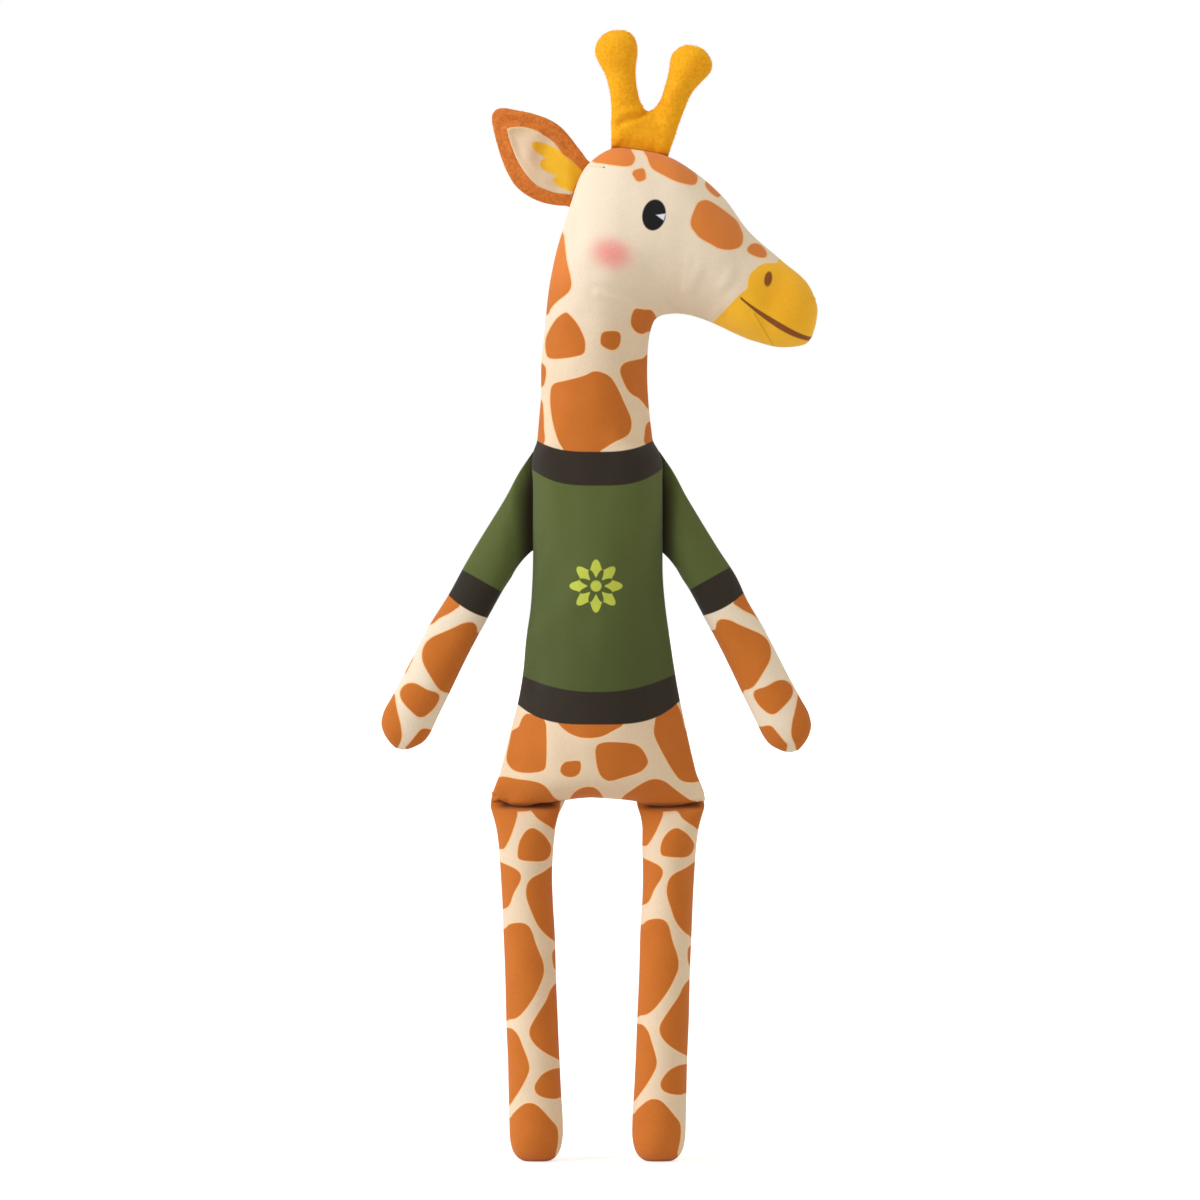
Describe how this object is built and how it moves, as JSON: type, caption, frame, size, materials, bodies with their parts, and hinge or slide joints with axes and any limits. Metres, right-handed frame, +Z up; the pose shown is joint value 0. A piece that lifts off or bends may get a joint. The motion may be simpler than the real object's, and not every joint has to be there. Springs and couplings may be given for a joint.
{
  "type": "plush giraffe",
  "caption": "Long-legged plush giraffe of printed cotton with fleece horns and ear, stuffed with fibre, with limbs that flap and fold at their sewn seams.",
  "frame": {"origin": "on the floor, midway between the feet, in the plane of the seam", "axes": "+Z up along the neck, -Y towards the viewer that the giraffe's body faces, +X towards the muzzle and the giraffe's own left side"},
  "size_m": [0.2318, 0.0564, 0.5995],
  "materials": {
    "printed_cotton": "matte",
    "horn_fleece": "matte",
    "ear_fleece": "matte",
    "fibre_filling": "matte"
  },
  "bodies": {
    "torso": {"body_front_panel": "printed_cotton", "body_back_panel": "printed_cotton", "trunk_stuffing": "fibre_filling", "neck_stuffing": "fibre_filling", "head_stuffing": "fibre_filling"},
    "left_arm": {"left_arm_front_panel": "printed_cotton", "left_arm_back_panel": "printed_cotton", "left_arm_stuffing": "fibre_filling"},
    "right_arm": {"right_arm_front_panel": "printed_cotton", "right_arm_back_panel": "printed_cotton", "right_arm_stuffing": "fibre_filling"},
    "left_leg": {"left_leg_front_panel": "printed_cotton", "left_leg_back_panel": "printed_cotton", "left_leg_stuffing": "fibre_filling"},
    "right_leg": {"right_leg_front_panel": "printed_cotton", "right_leg_back_panel": "printed_cotton", "right_leg_stuffing": "fibre_filling"},
    "horns": {"horns_front_panel": "horn_fleece", "horns_back_panel": "horn_fleece", "horns_stuffing": "fibre_filling"},
    "ear": {"ear_front_panel": "printed_cotton", "ear_back_panel": "ear_fleece", "ear_stuffing": "fibre_filling"}
  },
  "joints": [
    {"name": "left_shoulder", "type": "hinge", "parent": "torso", "child": "left_arm", "pos_m": [0.0352, 0, 0.373], "axis": [0, 0, -1], "range_deg": [-60, 60], "stiffness_Nm_per_rad": 0.01},
    {"name": "right_shoulder", "type": "hinge", "parent": "torso", "child": "right_arm", "pos_m": [-0.0352, 0, 0.373], "axis": [0, 0, 1], "range_deg": [-60, 60], "stiffness_Nm_per_rad": 0.01},
    {"name": "left_hip", "type": "hinge", "parent": "torso", "child": "left_leg", "pos_m": [0.03825, 0, 0.1881], "axis": [-1, 0, 0], "range_deg": [-60, 90]},
    {"name": "right_hip", "type": "hinge", "parent": "torso", "child": "right_leg", "pos_m": [-0.03825, 0, 0.1881], "axis": [-1, 0, 0], "range_deg": [-60, 90]},
    {"name": "horns_bend", "type": "hinge", "parent": "torso", "child": "horns", "pos_m": [0.00781, 0, 0.53675], "axis": [0.995, 0, -0.0997], "range_deg": [-40, 40], "stiffness_Nm_per_rad": 0.02},
    {"name": "ear_bend", "type": "hinge", "parent": "torso", "child": "ear", "pos_m": [-0.01633, 0, 0.50509], "axis": [0.3869, 0, 0.9221], "range_deg": [-35, 35], "stiffness_Nm_per_rad": 0.01}
  ]
}
